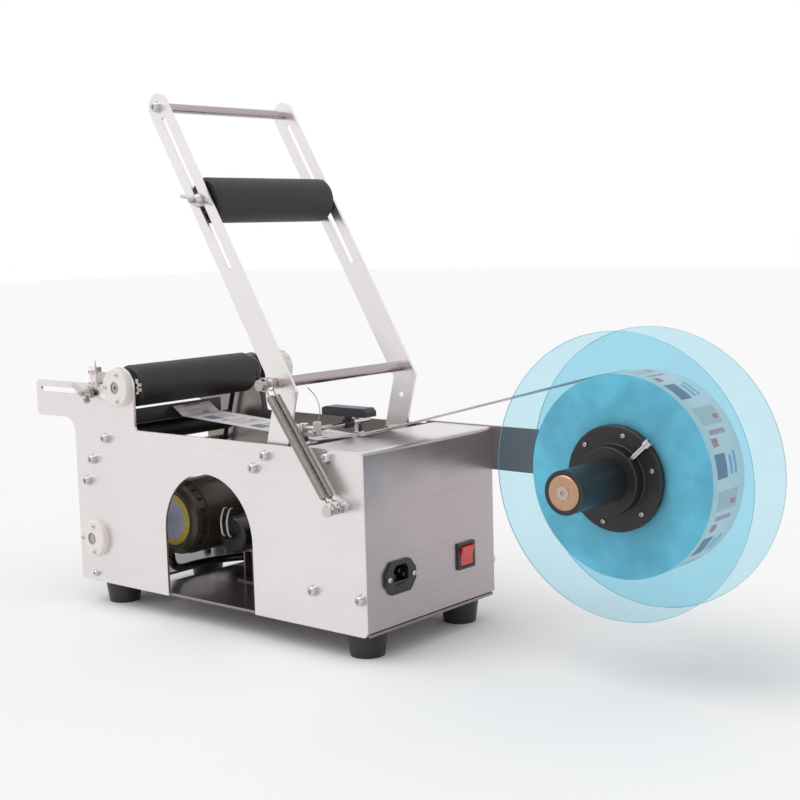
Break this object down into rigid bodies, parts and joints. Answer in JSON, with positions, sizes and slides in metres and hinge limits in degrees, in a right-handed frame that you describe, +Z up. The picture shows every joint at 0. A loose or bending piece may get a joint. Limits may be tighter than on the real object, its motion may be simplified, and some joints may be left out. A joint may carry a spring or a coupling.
{
  "type": "bottle labelling machine",
  "caption": "Bench-top bottle labelling machine: sheet steel frame, driven rubber roller, sprung press arm with roller, sliding bottle cradle and label spool on a side arm.",
  "frame": {"origin": "underside of the front near foot, on the foot axis", "axes": "+X along the machine towards the label spool, +Y from the spring side to the spool-arm side, +Z up"},
  "size_m": [0.9336, 0.294, 0.6046],
  "materials": {
    "stainless": "brushed",
    "polished": "polished",
    "steel": "machined",
    "black_metal": "satin",
    "motor_paint": "satin",
    "rubber": "matte",
    "white_plastic": "matte",
    "black_plastic": "satin",
    "red_plastic": "gloss",
    "clear_blue": "gloss",
    "black_anodised": "satin",
    "paper": "matte",
    "belt_rubber": "matte"
  },
  "bodies": {
    "frame": {"side_plate_near": "stainless", "side_plate_far": "stainless", "base_plate": "stainless", "front_foot_bar": "black_metal", "rear_cover": "stainless", "rubber_feet": "rubber", "machine_screws": "polished", "web_rods": "steel", "bearing_flanges": "white_plastic", "ball_bearings": "steel", "drive_belt": "belt_rubber", "peel_plate": "black_metal", "guide_frame": "polished", "label_sensor": "black_plastic", "press_arm_pivot": "steel", "spring_post": "polished", "spool_arm": "stainless", "spool_axle": "steel", "label_web": "paper", "motor_body": "motor_paint", "motor_gear_case": "motor_paint", "mounting_brackets": "steel", "capacitor": "black_plastic", "motor_cable": "rubber", "control_box": "black_plastic", "power_inlet": "black_plastic", "switch_frame": "black_plastic"},
    "main_roller": {"main_roller_shaft": "steel", "main_roller_rubber": "rubber", "main_roller_collar": "polished", "hand_wheel": "white_plastic"},
    "takeup": {"takeup_shaft": "steel", "takeup_drum": "rubber"},
    "motor_output": {"motor_output": "steel"},
    "idler": {"idler_roller": "rubber"},
    "press_arm": {"press_arm_bars": "stainless", "press_arm_top_bar": "polished", "press_arm_low_bar": "polished", "press_arm_screws": "polished"},
    "press_carriage": {"press_slide_blocks": "black_plastic", "press_axle": "steel"},
    "press_roller": {"press_roller": "rubber"},
    "press_wing_nuts": {"press_wing_nuts": "polished"},
    "springs_lower": {"spring_coils": "steel"},
    "springs_upper": {"spring_hooks": "steel"},
    "cradle": {"cradle_plates": "stainless", "cradle_studs": "steel"},
    "cradle_roller_1": {"cradle_roller_1": "rubber"},
    "cradle_roller_2": {"cradle_roller_2": "rubber"},
    "cradle_wing_nuts": {"cradle_wing_nuts": "polished"},
    "spool": {"spindle_tube": "black_anodised", "spool_disc_far": "clear_blue", "spool_hub_far": "black_anodised", "label_roll": "paper", "core_adapter": "black_plastic"},
    "spool_near_side": {"spool_disc_near": "clear_blue", "spool_hub_near": "black_anodised"},
    "spool_clamp_screw": {"spool_clamp_screw": "polished"},
    "fuse_drawer": {"fuse_drawer": "black_plastic"},
    "rocker_switch": {"rocker_switch": "red_plastic"}
  },
  "joints": [
    {"name": "main_roller_spin", "type": "hinge", "parent": "frame", "child": "main_roller", "pos_m": [0.047, 0.08, 0.2695], "axis": [0, 1, 0], "continuous": true},
    {"name": "takeup_spin", "type": "hinge", "parent": "frame", "child": "takeup", "pos_m": [-0.0105, 0.08, 0.082], "axis": [0, 1, 0], "continuous": true},
    {"name": "motor_spin", "type": "hinge", "parent": "frame", "child": "motor_output", "pos_m": [0.088, 0.17, 0.1275], "axis": [0, 1, 0], "continuous": true},
    {"name": "idler_spin", "type": "hinge", "parent": "frame", "child": "idler", "pos_m": [0.0185, 0.08, 0.207], "axis": [0, 1, 0], "continuous": true},
    {"name": "press_arm_fold", "type": "hinge", "parent": "frame", "child": "press_arm", "pos_m": [0.289, 0.08, 0.208], "axis": [0, -1, 0], "range_deg": [0, 45], "stiffness_Nm_per_rad": 6, "springref_deg": -45.84},
    {"name": "press_height_slide", "type": "slide", "parent": "press_arm", "child": "press_carriage", "axis": [-0.5075, 0, 0.8616], "range_m": [-0.074, 0.0909]},
    {"name": "press_roller_spin", "type": "hinge", "parent": "press_carriage", "child": "press_roller", "pos_m": [0.18988, 0.08, 0.48355], "axis": [0, 1, 0], "continuous": true},
    {"name": "press_wing_nut_turn", "type": "hinge", "parent": "press_carriage", "child": "press_wing_nuts", "pos_m": [0.18988, 0.08, 0.48355], "axis": [0, 1, 0], "continuous": true},
    {"name": "spring_swing", "type": "hinge", "parent": "frame", "child": "springs_lower", "pos_m": [0.3969, -0.042, 0.162], "axis": [0, -1, 0], "range_deg": [-1, 18]},
    {"name": "spring_stretch", "type": "slide", "parent": "springs_lower", "child": "springs_upper", "axis": [-0.5897, 0, 0.8077], "range_m": [-0.002, 0.038], "deforming": ["spring_coils"]},
    {"name": "cradle_slide", "type": "slide", "parent": "frame", "child": "cradle", "axis": [1, 0, 0], "range_m": [-0.0943, 0.0133]},
    {"name": "cradle_roller_1_spin", "type": "hinge", "parent": "cradle", "child": "cradle_roller_1", "pos_m": [-0.03, 0.08, 0.257], "axis": [0, 1, 0], "continuous": true},
    {"name": "cradle_roller_2_spin", "type": "hinge", "parent": "cradle", "child": "cradle_roller_2", "pos_m": [-0.002, 0.08, 0.257], "axis": [0, 1, 0], "continuous": true},
    {"name": "cradle_wing_nut_turn", "type": "hinge", "parent": "cradle", "child": "cradle_wing_nuts", "pos_m": [-0.009, 0.08, 0.261], "axis": [0, 1, 0], "continuous": true},
    {"name": "spool_spin", "type": "hinge", "parent": "frame", "child": "spool", "pos_m": [0.6789, 0.08, 0.2078], "axis": [0, 1, 0], "continuous": true},
    {"name": "spool_side_slide", "type": "slide", "parent": "spool", "child": "spool_near_side", "axis": [0, -1, 0], "range_m": [0, 0.07]},
    {"name": "spool_clamp_turn", "type": "hinge", "parent": "spool_near_side", "child": "spool_clamp_screw", "pos_m": [0.6789, 0.034, 0.2078], "axis": [0.7314, 0, 0.682], "continuous": true},
    {"name": "fuse_drawer_slide", "type": "slide", "parent": "frame", "child": "fuse_drawer", "axis": [1, 0, 0], "range_m": [0, 0.014]},
    {"name": "rocker_switch_tilt", "type": "hinge", "parent": "frame", "child": "rocker_switch", "pos_m": [0.429, 0.136, 0.0844], "axis": [0, -1, 0], "range_deg": [0, 18]}
  ],
  "couplings": [
    {"joint": "takeup_spin", "follows": "main_roller_spin", "ratio": 1},
    {"joint": "motor_spin", "follows": "main_roller_spin", "ratio": 1.8},
    {"joint": "spring_swing", "follows": "press_arm_fold", "ratio": 0.3791},
    {"joint": "spring_stretch", "follows": "press_arm_fold", "m_per_rad": 0.04711}
  ]
}
